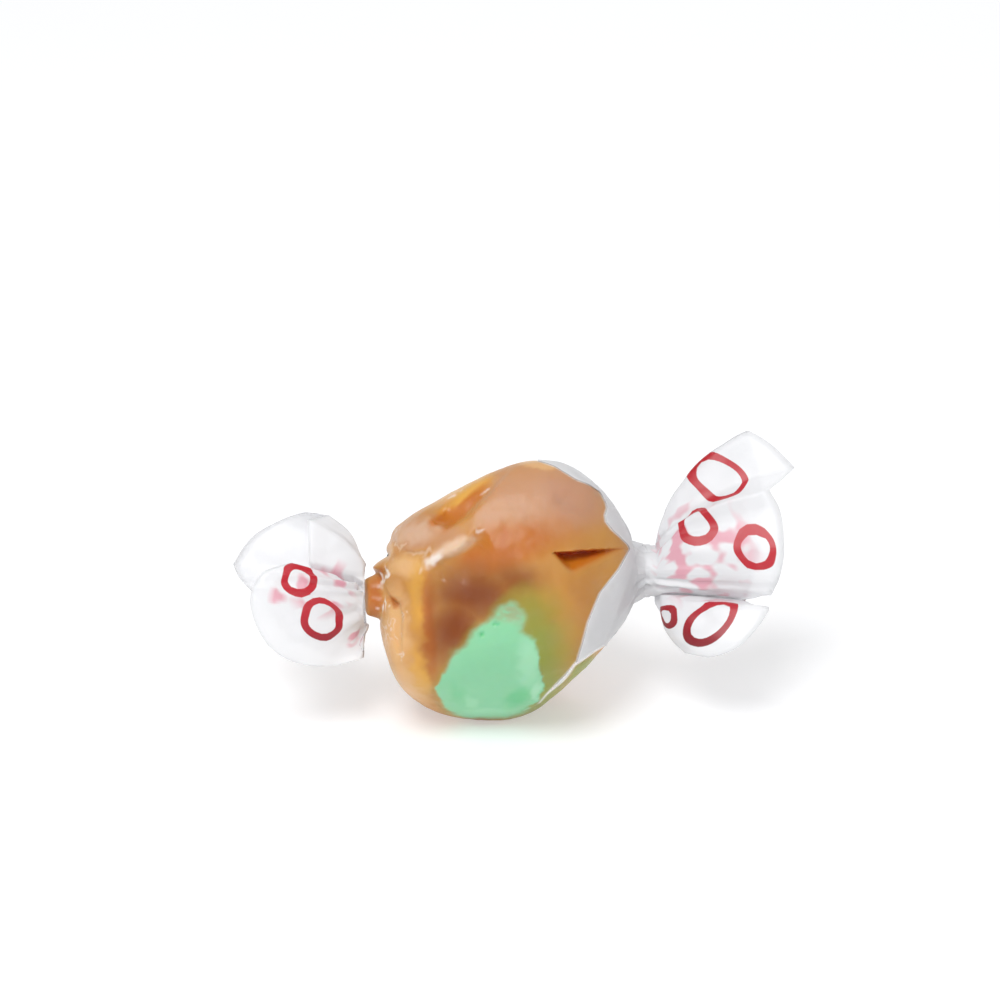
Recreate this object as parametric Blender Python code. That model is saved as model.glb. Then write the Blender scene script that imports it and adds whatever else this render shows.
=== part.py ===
"""One piece of twist-wrapped salt water taffy: a caramel lump with a mint core, in a waxed paper tube.

Metres, +Z up. The wrapper runs along X, and the origin is on the flat spot that it rests on, under the lump.
The folds are laid out as they are seen from the display side, which looks along +Y and down by DISPLAY_TILT:
x is to the right, up is up in that view, and deep is away from the viewer, all from the lump's centre.
"""

import math

import bmesh
import bpy
from mathutils import Vector

MM = 0.001

# The whole
DISPLAY_TILT = math.radians(22)
LUMP_HEIGHT = 13.0 * MM  # centre of the lump above what it rests on
PAPER = 0.3 * MM  # waxed paper is 0.04 mm; the solid's wall is as thin as is practical
GAP = 0.3 * MM  # between touching pieces
ROUNDNESS = 9  # of the lump's edges: higher is sharper
SHARP_SIDE = 2.2  # millimetres that a fold's slot takes to drop on its sharp side
TAFFY_FOLD = 1.15  # how deep the folds go in the taffy, against those in the paper over it

# The lump's flats, each (x, up, deep) of its direction and its distance from the centre in millimetres
FLATS = (
    (-1.00, 0.00, 0.00, 13.5),
    (-0.49, 0.87, 0.00, 11.4),
    (-0.92, -0.40, 0.00, 14.2),
    (-0.57, -0.82, 0.00, 16.0),
    (0.72, -0.69, 0.00, 11.0),
    (0.89, 0.45, 0.00, 14.2),
    (0.60, 0.80, 0.00, 14.8),
    (0.05, 1.00, 0.00, 14.1),
    (1.00, -0.05, 0.10, 13.6),
    (0.00, 0.35, -0.94, 12.6),
    (-0.10, -0.20, -0.98, 12.4),
    (0.05, -0.75, -0.66, 12.4),
    (0.00, -0.92, -0.39, 12.2),
    (-0.70, 0.15, -0.70, 12.6),
    (0.72, -0.05, -0.69, 12.4),
    (0.00, -0.30, 0.95, 12.6),
    (0.20, 0.62, 0.76, 12.8),
    (-0.72, 0.10, 0.69, 12.6),
    (0.70, 0.00, 0.71, 12.4),
    (-0.15, -0.75, 0.64, 14.6),
)
FLOOR_FLAT = 16.0 * MM  # the underside, cut off level at LUMP_HEIGHT
# Where the taffy itself falls short of the paper, which bridges from its edge to the twist
TAFFY_FLATS = (
    (0.88, -0.47, 0.00, 11.4),
    (0.97, 0.24, 0.00, 13.2),
)

# Mint core: radii of its section in millimetres, every 30 degrees from x towards up
CORE_RADII = (5.8, 6.0, 6.8, 5.8, 4.3, 4.0, 4.8, 6.4, 6.4, 5.6, 6.2, 6.2)
CORE_CENTRE = (-1.9 * MM, -7.4 * MM)  # x, up
CORE_REACH = 17.0 * MM  # past both faces of the lump
CORE_RISE = 55.0  # the core arches up behind the middle by this times depth squared
CORE_TAPER = 0.25  # how much thinner it is at the back

# Twists: centre, axis towards the tail, radius and length
NECK_RADIUS = 2.4 * MM
NECK_LENGTH = 1.2 * MM
NECK_TURN = 3  # of the AROUND columns, by which a tail is turned against the lump
NECK_PLEATS = 7
PLEAT_DEPTH = 0.10  # of the twist's radius
# Each tail's cut edge as (x, up, deep, corner) in millimetres, from the top over the near side.
# A corner of 1 is a crease; 0 is a smooth bend.
RIGHT_NECK = (14.3, 2.1, 2.4)
RIGHT_EDGE = (
    (24.0, 16.2, 2.6, 1),
    (26.4, 14.6, 1.6, 0),
    (28.7, 12.3, 0.4, 1),
    (26.0, 10.0, -1.6, 1),
    (27.1, 7.8, -2.0, 0),
    (27.4, 4.2, -3.0, 0),
    (27.0, 1.4, -2.6, 0),
    (26.2, -0.6, -1.2, 1),
    (23.0, -1.0, 1.4, 1),
    (26.0, -1.6, -3.8, 1),
    (24.6, -3.6, -4.6, 0),
    (22.6, -5.6, -4.6, 0),
    (20.0, -6.6, -3.4, 0),
    (17.6, -6.3, -1.2, 1),
    (19.4, -5.0, 2.4, 0),
    (23.2, -2.5, 4.4, 0),
    (24.8, 1.0, 3.4, 1),
    (25.7, 4.6, 6.0, 0),
    (26.0, 8.6, 6.0, 1),
    (25.2, 12.4, 4.2, 0),
)
LEFT_NECK = (-13.9, -0.6, -1.7)
LEFT_EDGE = (
    (-17.8, 7.6, -0.4, 1),
    (-19.9, 7.0, -3.0, 1),
    (-19.7, 2.8, -3.8, 1),
    (-18.6, 0.6, -2.2, 1),
    (-21.4, 2.7, -5.2, 1),
    (-23.8, 2.1, -6.6, 0),
    (-25.2, 0.0, -7.2, 0),
    (-25.1, -2.4, -6.8, 0),
    (-23.6, -5.3, -6.2, 0),
    (-21.0, -7.0, -5.6, 0),
    (-17.8, -7.4, -4.8, 0),
    (-14.9, -6.8, -4.0, 1),
    (-17.8, -6.4, -1.0, 0),
    (-21.8, -4.8, 0.4, 0),
    (-24.4, -1.4, 1.0, 1),
    (-26.8, 1.0, 1.2, 0),
    (-27.6, 2.5, 1.6, 1),
    (-25.8, 5.2, 2.6, 0),
    (-22.8, 7.0, 2.8, 0),
    (-20.2, 7.8, 1.6, 0),
)
FLARE_OUT = 1.45  # how fast a tail opens as it leaves the twist, against a straight cone
FLARE_ALONG = 0.35  # and how far it has gone along by then

# How finely the surfaces are divided
AROUND = 54
LUMP_STEPS = 24  # from one end of the taffy to the other
OPEN_STEPS = 2  # of those, how many the paper leaves out at each end, where it gathers to a twist
CONE_RINGS = 2
NECK_RINGS = 3
TAIL_RINGS = 6
CURVE_STEPS = 40  # between two points of a tail's edge
TURN_SHARE = 0.45  # how far a tail's columns keep to equal angles; the rest is to equal lengths of edge
CORE_SEGMENTS = 36
CORE_STEPS = 9


def from_display(x, up, deep):
    """The direction or offset in the part's own axes of one seen from the display side."""
    sine, cosine = math.sin(DISPLAY_TILT), math.cos(DISPLAY_TILT)
    return Vector((x, up * sine + deep * cosine, up * cosine - deep * sine))


def flats_from(rows):
    """(unit direction, distance in metres) of each flat."""
    return [(from_display(*row[:3]).normalized(), row[3] * MM) for row in rows]


CENTRE = Vector((0, 0, LUMP_HEIGHT))
PAPER_FLATS = flats_from(FLATS) + [(Vector((0, 0, -1)), FLOOR_FLAT)]
CUT_FLATS = PAPER_FLATS + flats_from(TAFFY_FLATS)


def soft_block(direction, flats):
    """Distance from the centre to a block with these flats and rounded edges."""
    total = sum(max(0.0, direction.dot(normal) / away) ** ROUNDNESS for normal, away in flats)
    return total ** (-1 / ROUNDNESS)


def notch(x, up, start, end, width, depth, widest=0.5):
    """Depth of a slot: sharp along the line from start to end, and easing off to its right-hand side."""
    along = Vector((end[0] - start[0], end[1] - start[1]))
    offset = Vector((x - start[0], up - start[1]))
    share = offset.dot(along) / along.length_squared
    if not 0 < share < 1:
        return 0.0
    opening = share / widest if share < widest else (1 - share) / (1 - widest)
    beside = (offset.x * along.y - offset.y * along.x) / along.length
    reach = SHARP_SIDE + (width * opening if beside > 0 else 0)
    ramp = max(0.0, 1 - abs(beside) / reach)
    return depth * min(1.0, 2 * opening) * ramp**2 * (3 - 2 * ramp)


def hollow(x, up, middle, size, depth):
    """Depth of a smooth round hollow."""
    reach = ((x - middle[0]) / size[0]) ** 2 + ((up - middle[1]) / size[1]) ** 2
    return depth * max(0.0, 1 - reach) ** 2


def folds(point):
    """How far the surface is pressed in, in metres, by the folds that the paper has left in the taffy."""
    sine, cosine = math.sin(DISPLAY_TILT), math.cos(DISPLAY_TILT)
    x = point.x / MM
    up = (point.y * sine + point.z * cosine) / MM
    if point.y * cosine - point.z * sine < 0:
        pressed = (
            notch(x, up, (3.4, 3.4), (13.2, 4.0), 1.6, 2.0, widest=0.4)
            + notch(x, up, (-14.0, 5.2), (-5.0, 3.6), 3.0, 1.2)
            + notch(x, up, (-7.6, 3.0), (-0.6, 10.4), 3.5, 1.2)
            + notch(x, up, (0.4, 12.6), (-9.4, 5.8), 1.8, 1.3)
            + hollow(x, up, (-3.6, 0.0), (5.0, 5.0), 0.8)
        )
    else:
        pressed = (
            notch(x, up, (-10.0, 5.0), (5.5, 8.2), 3.0, 1.6, widest=0.7)
            + notch(x, up, (-3.0, -1.6), (11.5, 2.6), 2.4, 1.8, widest=0.4)
            + notch(x, up, (4.0, -8.4), (-9.0, -3.0), 2.4, 1.3)
            + hollow(x, up, (-5.0, -1.0), (5.0, 4.0), 0.9)
        )
    return pressed * MM


def paper_point(direction):
    """A point of the paper's outer face over the lump, level where it rests."""
    away = soft_block(direction, PAPER_FLATS)
    away -= folds(direction * away)
    point = CENTRE + direction * away
    point.z = max(point.z, 0.0)
    return point


def taffy_point(direction):
    """A point of the taffy's surface, clear of the paper."""
    away = soft_block(direction, CUT_FLATS)
    away -= folds(direction * away) * TAFFY_FOLD
    point = CENTRE + direction * (away - PAPER - 2 * GAP)
    point.z = max(point.z, PAPER + GAP)
    return point


def around_axis(tilt, turn):
    """A unit direction at an angle from +X, turned about it from the top over the near side."""
    side = math.sin(tilt)
    return Vector((math.cos(tilt), -side * math.sin(turn), side * math.cos(turn)))


def lump_direction(plain):
    """A unit direction from the centre, drawn towards the off-centre twists as it nears the ends."""
    neck = RIGHT_NECK if plain.x > 0 else LEFT_NECK
    offset = from_display(0, neck[1], neck[2]) / abs(neck[0])
    return (plain + offset * plain.x**2).normalized()


def ring_turns():
    return [2 * math.pi * step / AROUND for step in range(AROUND)]


def smooth_loop(controls):
    """Many points along a closed curve through the controls, with creases at the corners."""
    spots = [CENTRE + from_display(*row[:3]) * MM for row in controls]
    creased = [bool(row[3]) for row in controls]
    number = len(spots)
    curve = []
    for i in range(number):
        here, there = spots[i], spots[(i + 1) % number]
        leave = there - here if creased[i] else (there - spots[i - 1]) / 2
        arrive = there - here if creased[(i + 1) % number] else (spots[(i + 2) % number] - here) / 2
        for step in range(CURVE_STEPS):
            t = step / CURVE_STEPS
            start = here * (2 * t**3 - 3 * t**2 + 1) + leave * (t**3 - 2 * t**2 + t)
            curve.append(start + there * (3 * t**2 - 2 * t**3) + arrive * (t**3 - t**2))
    return curve


def spread(curve, middle):
    """AROUND points of the closed curve, shared out by its length and by its angle about the twist."""
    lengths, turns = [0.0], [0.0]
    offset = curve[0] - middle
    last = math.atan2(-offset.y, offset.z)
    turned = 0.0
    for spot, following in zip(curve, curve[1:] + curve[:1]):
        lengths.append(lengths[-1] + (following - spot).length)
        offset = following - middle
        angle = math.atan2(-offset.y, offset.z)
        turned += (angle - last + math.pi) % (2 * math.pi) - math.pi
        last = angle
        turns.append(max(turns[-1], turned))
    shares = [
        (1 - TURN_SHARE) * length / lengths[-1] + TURN_SHARE * turn / turns[-1]
        for length, turn in zip(lengths, turns)
    ]
    loop, spot = [], 0
    for step in range(AROUND):
        while shares[spot + 1] < step / AROUND:
            spot += 1
        along = (step / AROUND - shares[spot]) / (shares[spot + 1] - shares[spot])
        loop.append(curve[spot].lerp(curve[(spot + 1) % len(curve)], along))
    return loop


def neck_rings(neck, side):
    """Rings of the twist, from the lump outwards, turning as they go."""
    middle = CENTRE + from_display(*neck) * MM
    rings = []
    for step in range(NECK_RINGS):
        share = step / (NECK_RINGS - 1) - 0.5
        centre = middle + Vector((side * NECK_LENGTH * share, 0, 0))
        turned = 2 * math.pi * NECK_TURN / AROUND * (share + 0.5) * side
        ring = []
        for turn in ring_turns():
            radius = NECK_RADIUS * (1 - PLEAT_DEPTH * (1 + math.cos(NECK_PLEATS * turn)) / 2)
            ring.append(centre + around_axis(math.pi / 2, turn + turned) * radius)
        rings.append(ring)
    return rings


def tail_rings(neck, edge, first, side):
    """Rings of a tail: each line leaves the twist outwards and bends along to the cut edge."""
    middle = CENTRE + from_display(*neck) * MM
    loop = spread(smooth_loop(edge), middle)
    loop = loop[side * NECK_TURN :] + loop[: side * NECK_TURN]
    rings = []
    for step in range(1, TAIL_RINGS + 1):
        t = step / TAIL_RINGS
        ring = []
        for start, end in zip(first, loop):
            reach = end - middle
            along = Vector((reach.x, 0, 0))
            bend = middle + (along * FLARE_ALONG + (reach - along) * FLARE_OUT) / 2
            ring.append(start * (1 - t) ** 2 + bend * (2 * t * (1 - t)) + end * t**2)
        rings.append(ring)
    return rings


def cone_rings(lump_ring, neck_ring):
    """Rings of the straight paper between the lump and a twist, ends left out."""
    shares = [step / (CONE_RINGS + 1) for step in range(1, CONE_RINGS + 1)]
    return [[a.lerp(b, share) for a, b in zip(lump_ring, neck_ring)] for share in shares]


def wrapper_rings():
    """All rings of the paper tube, from the left tail's cut edge to the right tail's."""
    lump = []
    for step in range(LUMP_STEPS - OPEN_STEPS, OPEN_STEPS - 1, -1):
        tilt = math.pi * step / LUMP_STEPS
        lump.append([paper_point(lump_direction(around_axis(tilt, turn))) for turn in ring_turns()])
    left_neck, right_neck = neck_rings(LEFT_NECK, -1), neck_rings(RIGHT_NECK, 1)
    left_tail = tail_rings(LEFT_NECK, LEFT_EDGE, left_neck[-1], -1)
    right_tail = tail_rings(RIGHT_NECK, RIGHT_EDGE, right_neck[-1], 1)
    left_cone = cone_rings(lump[0], left_neck[0])
    right_cone = cone_rings(lump[-1], right_neck[0])
    left_half = left_tail[::-1] + left_neck[::-1] + left_cone[::-1]
    return left_half + lump + right_cone + right_neck + right_tail


def material(name, colour, roughness):
    made = bpy.data.materials.new(name)
    made.use_nodes = True
    shader = made.node_tree.nodes["Principled BSDF"]
    shader.inputs["Base Color"].default_value = (*colour, 1)
    shader.inputs["Roughness"].default_value = roughness
    return made


def as_object(name, bm, finish):
    """An object in the scene that holds the bmesh."""
    mesh = bpy.data.meshes.new(name)
    bm.to_mesh(mesh)
    bm.free()
    mesh.materials.append(finish)
    mesh.shade_smooth()
    made = bpy.data.objects.new(name, mesh)
    bpy.context.scene.collection.objects.link(made)
    return made


def make_wrapper(finish):
    """The paper tube: a sheet rolled up until its long edges meet, then given its thickness inwards."""
    rings = wrapper_rings()
    bm = bmesh.new()
    bmesh.ops.create_grid(bm, x_segments=AROUND, y_segments=len(rings) - 1, size=0.5)
    for vert in bm.verts:
        column = round((vert.co.x + 0.5) * AROUND) % AROUND
        row = round((vert.co.y + 0.5) * (len(rings) - 1))
        vert.co = rings[row][column]
    bmesh.ops.remove_doubles(bm, verts=bm.verts, dist=1e-7)
    wrapper = as_object("wrapper", bm, finish)
    shell = wrapper.modifiers.new("paper", "SOLIDIFY")
    shell.thickness = PAPER
    shell.offset = -1
    return wrapper


def make_lump(name, finish):
    """The whole taffy, before its core is parted from it."""
    bm = bmesh.new()
    bmesh.ops.create_uvsphere(bm, u_segments=AROUND, v_segments=LUMP_STEPS, radius=1)
    for vert in bm.verts:
        top, near, end = vert.co
        vert.co = taffy_point(lump_direction(Vector((end, -near, top))))
    return as_object(name, bm, finish)


def core_radius(turn):
    """Radius of the core's section: a smooth curve through CORE_RADII."""
    place = turn % (2 * math.pi) / (2 * math.pi) * len(CORE_RADII)
    first = int(place)
    share = (1 - math.cos(math.pi * (place - first))) / 2
    low, high = CORE_RADII[first % len(CORE_RADII)], CORE_RADII[(first + 1) % len(CORE_RADII)]
    return (low + (high - low) * share) * MM


def make_core(name, grow):
    """A rod of the core's section from front to back, arching up behind the middle."""
    bm = bmesh.new()
    bmesh.ops.create_uvsphere(bm, u_segments=CORE_SEGMENTS, v_segments=CORE_STEPS, radius=1)
    for vert in bm.verts:
        deep = -CORE_REACH * vert.co.z
        turn = math.atan2(vert.co.y, vert.co.x)
        radius = 0.0
        if abs(deep) < 0.999 * CORE_REACH:
            radius = core_radius(turn) * (1 - CORE_TAPER * max(0.0, deep) / CORE_REACH) + grow
        vert.co = CENTRE + from_display(
            CORE_CENTRE[0] + math.cos(turn) * radius, CORE_CENTRE[1] + math.sin(turn) * radius, deep
        )
        vert.co.z += CORE_RISE * max(0.0, deep) ** 2
    core = as_object(name, bm, bpy.data.materials.new(name))
    core.hide_render = True
    core.display_type = "WIRE"
    return core


def part_from(lump, core, operation):
    cut = lump.modifiers.new("core", "BOOLEAN")
    cut.operation = operation
    cut.object = core
    cut.solver = "EXACT"


def main():
    for old in list(bpy.data.objects):
        bpy.data.objects.remove(old)
    caramel = material("caramel taffy", (0.50, 0.23, 0.07), 0.35)
    mint = material("mint taffy", (0.31, 0.68, 0.41), 0.40)
    waxed = material("waxed paper", (0.88, 0.88, 0.90), 0.35)
    part_from(make_lump("caramel_taffy", caramel), make_core("core_space", GAP), "DIFFERENCE")
    part_from(make_lump("mint_taffy", mint), make_core("core_shape", 0.0), "INTERSECT")
    make_wrapper(waxed)


main()
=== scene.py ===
"""One piece of twist-wrapped salt water taffy: a caramel lump with a mint core, in a sheet of waxed paper.

Metres, +Z up. The paper runs along X, and the origin is on the flat spot that the sweet rests on, under
the lump. Folds and colours are laid out as they are seen from the display side, which looks along +Y and
down by DISPLAY_TILT: x is to the right, up is up in that view, and deep is away from the viewer, all in
millimetres from the lump's centre. Places in that view are taken where the camera sees them against the
plane of the centre.
"""

import math

import bmesh
import bpy
from mathutils import Matrix, Vector, noise


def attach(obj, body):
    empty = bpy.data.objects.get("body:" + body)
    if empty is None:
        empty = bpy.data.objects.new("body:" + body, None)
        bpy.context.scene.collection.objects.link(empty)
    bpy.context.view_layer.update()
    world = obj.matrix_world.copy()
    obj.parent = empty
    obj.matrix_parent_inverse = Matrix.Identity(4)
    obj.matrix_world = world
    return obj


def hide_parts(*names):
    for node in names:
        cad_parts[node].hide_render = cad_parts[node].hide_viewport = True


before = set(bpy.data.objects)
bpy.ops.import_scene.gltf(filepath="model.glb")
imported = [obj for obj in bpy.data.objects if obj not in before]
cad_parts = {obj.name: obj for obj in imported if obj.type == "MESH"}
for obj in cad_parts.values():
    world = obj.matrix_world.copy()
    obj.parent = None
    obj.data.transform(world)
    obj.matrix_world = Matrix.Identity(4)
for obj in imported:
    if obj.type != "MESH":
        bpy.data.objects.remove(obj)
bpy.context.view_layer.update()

MM = 0.001

# The whole
DISPLAY_TILT = math.radians(22)
LUMP_HEIGHT = 13.0 * MM
CENTRE = Vector((0, 0, LUMP_HEIGHT))
PAPER = 0.04 * MM  # a sheet of waxed paper
CLING = 0.10 * MM  # from the paper's outer face to the taffy where they touch

# The camera, in millimetres of the display side's view
EYE_PLACE = (-0.8, 9.0)
EYE_DISTANCE = 380.0

# The lump: flats that bound it, as a direction (x, up, deep) and millimetres from the centre
FLATS = (
    (-1.00, 0.00, 0.00, 13.8),
    (-0.49, 0.87, 0.00, 11.4),
    (-0.92, -0.40, 0.00, 14.8),
    (-0.57, -0.82, 0.00, 16.0),
    (0.72, -0.69, 0.00, 11.0),
    (0.89, 0.45, 0.00, 14.2),
    (0.60, 0.80, 0.00, 14.8),
    (0.05, 1.00, 0.00, 14.1),
    (1.00, -0.05, 0.10, 13.6),
    (0.00, 0.35, -0.94, 12.6),
    (-0.10, -0.20, -0.98, 12.4),
    (0.05, -0.75, -0.66, 12.4),
    (0.00, -0.92, -0.39, 12.2),
    (-0.70, 0.15, -0.70, 12.6),
    (0.72, -0.05, -0.69, 12.4),
    (0.00, -0.30, 0.95, 12.6),
    (0.20, 0.62, 0.76, 12.8),
    (-0.72, 0.10, 0.69, 12.6),
    (0.70, 0.00, 0.71, 12.4),
    (-0.15, -0.75, 0.64, 14.6),
)
FLOOR_FLAT = 16.0 * MM  # straight down; the floor flattens what is left under it
ROUNDNESS = 9  # the higher, the sharper the edges between flats
WAVES = ((0.08, 4.5), (0.04, 13.0))  # its unevenness: height in millimetres, and bumps over its radius

# Mint core
CORE_RADII = (5.8, 6.0, 6.8, 5.8, 4.3, 4.0, 4.8, 6.4, 6.4, 5.6, 6.2, 6.2)  # from the right over the top
CORE_CENTRE = (-1.9, -7.4)  # x and up of its middle
CORE_REACH = 17.0 * MM  # from its middle to each end
CORE_RISE = 55.0  # its arch behind the middle, in metres up for a square metre of depth
CORE_TAPER = 0.25  # share by which it has narrowed at the back
CORE_CAP = 0.999  # share of its reach past which it closes to a point
SHARP_ANGLE = math.radians(50)  # between faces at the cut between caramel and mint

# Twists, as their middle's x, up and deep, and the tails' cut edges, as x, up, deep and 1 at a crease
NECK_RADIUS = 2.5 * MM
NECK_TURN = 3 / 54  # of a whole turn
RIGHT_NECK = (14.3, 1.9, 2.4)
RIGHT_NECK_LENGTH = 1.2 * MM
RIGHT_EDGE = (
    (24.0, 16.2, 2.6, 1),
    (26.4, 14.6, 1.6, 0),
    (28.7, 12.3, 0.4, 1),
    (26.0, 10.0, -1.6, 1),
    (27.1, 7.8, -2.0, 0),
    (27.4, 4.2, -3.0, 0),
    (27.0, 1.4, -2.6, 0),
    (26.2, -0.6, -1.2, 1),
    (23.0, -1.0, 1.4, 1),
    (26.0, -1.6, -3.8, 1),
    (24.6, -3.6, -4.6, 0),
    (22.6, -5.6, -4.6, 0),
    (20.0, -6.6, -3.4, 0),
    (17.6, -6.3, -1.2, 1),
    (19.4, -5.0, 2.4, 0),
    (23.2, -2.5, 4.4, 0),
    (24.8, 1.0, 3.4, 1),
    (25.7, 4.6, 6.0, 0),
    (26.0, 8.6, 6.0, 1),
    (25.2, 12.4, 4.2, 0),
)
LEFT_NECK = (-13.9, -0.6, -1.7)
LEFT_NECK_LENGTH = 0.5 * MM
LEFT_EDGE = (
    (-17.8, 7.6, -0.4, 1),
    (-19.9, 7.0, -3.0, 1),
    (-19.7, 2.8, -3.8, 1),
    (-18.6, 0.6, -2.2, 1),
    (-21.4, 2.7, -5.2, 1),
    (-23.8, 2.1, -6.6, 0),
    (-25.2, 0.0, -7.2, 0),
    (-25.1, -2.4, -6.8, 0),
    (-23.6, -5.3, -6.2, 0),
    (-21.0, -7.0, -5.6, 0),
    (-17.6, -7.4, -4.8, 0),
    (-14.2, -6.6, -4.0, 1),
    (-17.8, -6.4, -1.0, 0),
    (-21.8, -4.8, 0.4, 0),
    (-24.4, -1.4, 1.0, 1),
    (-26.8, 1.0, 1.2, 0),
    (-27.6, 2.5, 1.6, 1),
    (-25.8, 5.2, 2.6, 0),
    (-22.8, 7.0, 2.8, 0),
    (-20.2, 7.8, 1.6, 0),
)
# A tail's lines bend at this much of half the way out and of half the way along
FLARE_OUT = 1.45
FLARE_ALONG = 0.35

# How finely the surfaces are divided
AROUND = 216
SEAM = 0.3  # share of a turn from the top over the far side to where the sheet's long edges meet
DENSER = 0.42  # how much closer the columns stand on the display side
DENSEST = 0.49  # share of the columns at which they stand closest
LUMP_STEPS = 180
OPEN_STEPS = 15  # of them left out at each end, where the straight paper begins
CONE_RINGS = 8
NECK_RINGS = 6
TAIL_RINGS = 23
CURVE_STEPS = 40  # from one point of a tail's edge to the next
TURN_SHARE = 0.45  # of how a tail's lines are shared out: this much by angle, the rest by length
TAFFY_AROUND = 320
TAFFY_STEPS = 250
CORE_SEGMENTS = 144
CORE_STEPS = 60
JOIN = 1e-7  # metres within which the sheet's long edges are joined

# Gathers in the paper round a twist, as how many in a turn and their height in millimetres, and how they
# wander, as a share of a gather, times in a turn and which way
GATHERS = ((9, 0.24), (16, 0.13))
GATHER_WANDER = ((0.35, 3, 1), (0.2, 5, -1))
LEFT_SEED, RIGHT_SEED = 0.61, 0.13
GATHERED_LUMP = (1.0, 8.0)  # millimetres from the twist over which the gathers fade on the lump's side
TAIL_START = (-0.5, 1.5)  # and on the tail's side, first over which they set in
GATHERED_TAIL = (2, 11)
TAIL_LOSS = 0.75  # share of their height that is lost out there
CRUMPLE_SIZE = 4.0  # millimetres across a crumpled facet
CRUMPLE_DEPTH = 0.16
CRUMPLE_MIDDLE = 0.6  # what a facet's height is taken from, so that it stands both up and down
CRUMPLED_TAIL = (0.3, 4)  # millimetres from the twist over which the crumples set in
CRUMPLED_LUMP = (1.0, 4.0)
LUMP_CRUMPLE = 0.8  # of their depth on the lump's side
LOOSE = (0.0, 1.5)  # millimetres past the film line over which they and the gathers set in

# Where the paper lies on the taffy
MILKY = (-0.04, 0.12)  # millimetres past the film line between which it turns from clear to milky
BRIDGING = (0.3, 1.8)  # and between which it stops following the taffy's folds
DROP = 1.0 * MM  # by which the taffy ends up lower where the paper has left it
DROPPING = (0.3, 4.0)
FAR_SIDE = (-1.0, 4.0)  # depths between which the far side begins
RAGGED = ((0.9, 0.45), (0.15, 1.7))  # the line's unevenness there: millimetres, and waves over a millimetre
FAR_MILK = 0.08  # by how much the far side's paper turns milky, and over how many millimetres
FAR_FADE = 3.0
FAR_CONE = (9.5, 12.5)  # x between which it leaves the far side
VEIL_FRONT, VEIL_FOOT = 0.6, 7.5  # how far before the middle and how high the veil over the top begins
VEIL_SLANT = (0.6, 4.0)  # how it ends towards the left
VEIL_EDGE = 0.35
VEIL_MOST = -0.08
ALL_OFF = 2.0  # of the twists and tails
# The paper turns clear through the left twist: by how much in all, how far it is from the film line at the
# lump's side of it, and how many of the tail's rings it takes in
LEFT_CLEARING = 2.9
LEFT_CLEAR = 2.7
CLEAR_TAIL_RINGS = 2
# The stub of taffy in the left twist and the dent round it: height, and the radii between which each ends
STUB = (1.3, 1.5, 2.4)
STUB_DENT = (0.1, 2.6, 3.6)

# The print
SHEET_ROUND = 50  # millimetres round a tail halfway along
RING_WAVE = 0.4  # waves over a millimetre in the rings' outlines
RING_WOBBLE = (0.6, 0.4)  # millimetres round the sheet and along it
RING_SHIFT = Vector((7.7, 3.1, 0.0))
RING_STROKE = (0.42, 0.34)  # millimetres from a ring's line between which the ink ends
NO_RING = 9.0  # millimetres given where nothing is printed
GHOST_EDGE = (0.6, 1.1)  # of a blurred patch's size, between which it ends


def smooth(low, high, value):
    """0 below low, 1 above high, and an even slope between."""
    share = min(1.0, max(0.0, (value - low) / (high - low)))
    return share * share * (3 - 2 * share)


def from_display(x, up, deep):
    """The direction or offset in the part's own axes of one seen from the display side."""
    sine, cosine = math.sin(DISPLAY_TILT), math.cos(DISPLAY_TILT)
    return Vector((x, up * sine + deep * cosine, up * cosine - deep * sine))


def to_display(offset):
    """x, up and deep in millimetres of an offset from the lump's centre in metres."""
    sine, cosine = math.sin(DISPLAY_TILT), math.cos(DISPLAY_TILT)
    return (
        offset.x / MM,
        (offset.y * sine + offset.z * cosine) / MM,
        (offset.y * cosine - offset.z * sine) / MM,
    )


def seen(x, up, deep):
    """x and up where the camera sees a place against the plane of the lump's centre."""
    nearer = EYE_DISTANCE / (EYE_DISTANCE + deep)
    return (x - EYE_PLACE[0]) * nearer + EYE_PLACE[0], (up - EYE_PLACE[1]) * nearer + EYE_PLACE[1]


def flats_from(rows):
    return [(from_display(*row[:3]).normalized(), row[3] * MM) for row in rows]


PAPER_FLATS = flats_from(FLATS) + [(Vector((0, 0, -1)), FLOOR_FLAT)]


def soft_block(direction, flats):
    """Distance from the centre to a block with these flats and rounded edges."""
    total = sum(max(0.0, direction.dot(normal) / away) ** ROUNDNESS for normal, away in flats)
    return total ** (-1 / ROUNDNESS)


def nearest_on(x, up, start, end):
    """The share of the way along a straight stretch that is nearest to a place, and how far away it is."""
    across, rise = end[0] - start[0], end[1] - start[1]
    along = (x - start[0]) * across + (up - start[1]) * rise
    share = min(1.0, max(0.0, along / (across * across + rise * rise)))
    return share, math.hypot(x - start[0] - across * share, up - start[1] - rise * share)


def crease(x, up, path, depth, sharp):
    """Depth of a fold along a path of (x, up, width): on the path's left it drops within the sharp distance,
    and on its right it eases off over the width."""
    widest = max(row[2] for row in path)
    nearest, right, weights, widths = 1e9, False, 0.0, 0.0
    for start, end in zip(path, path[1:]):
        share, away = nearest_on(x, up, start, end)
        weight = 1 / (away + NEAR_FOLD) ** NEAR_POWER
        weights += weight
        widths += weight * (start[2] + (end[2] - start[2]) * share)
        if away < nearest:
            nearest = away
            right = (x - start[0]) * (end[1] - start[1]) - (up - start[1]) * (end[0] - start[0]) > 0
    if nearest > max(sharp, widest):
        return 0.0
    width = widths / weights
    reach = max(sharp, width) if right else sharp
    if nearest >= reach:
        return 0.0
    ramp = 1 - nearest / reach
    return depth * min(1.0, NARROW_DEPTH * width / widest) * ramp * ramp * (3 - 2 * ramp)


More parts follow.
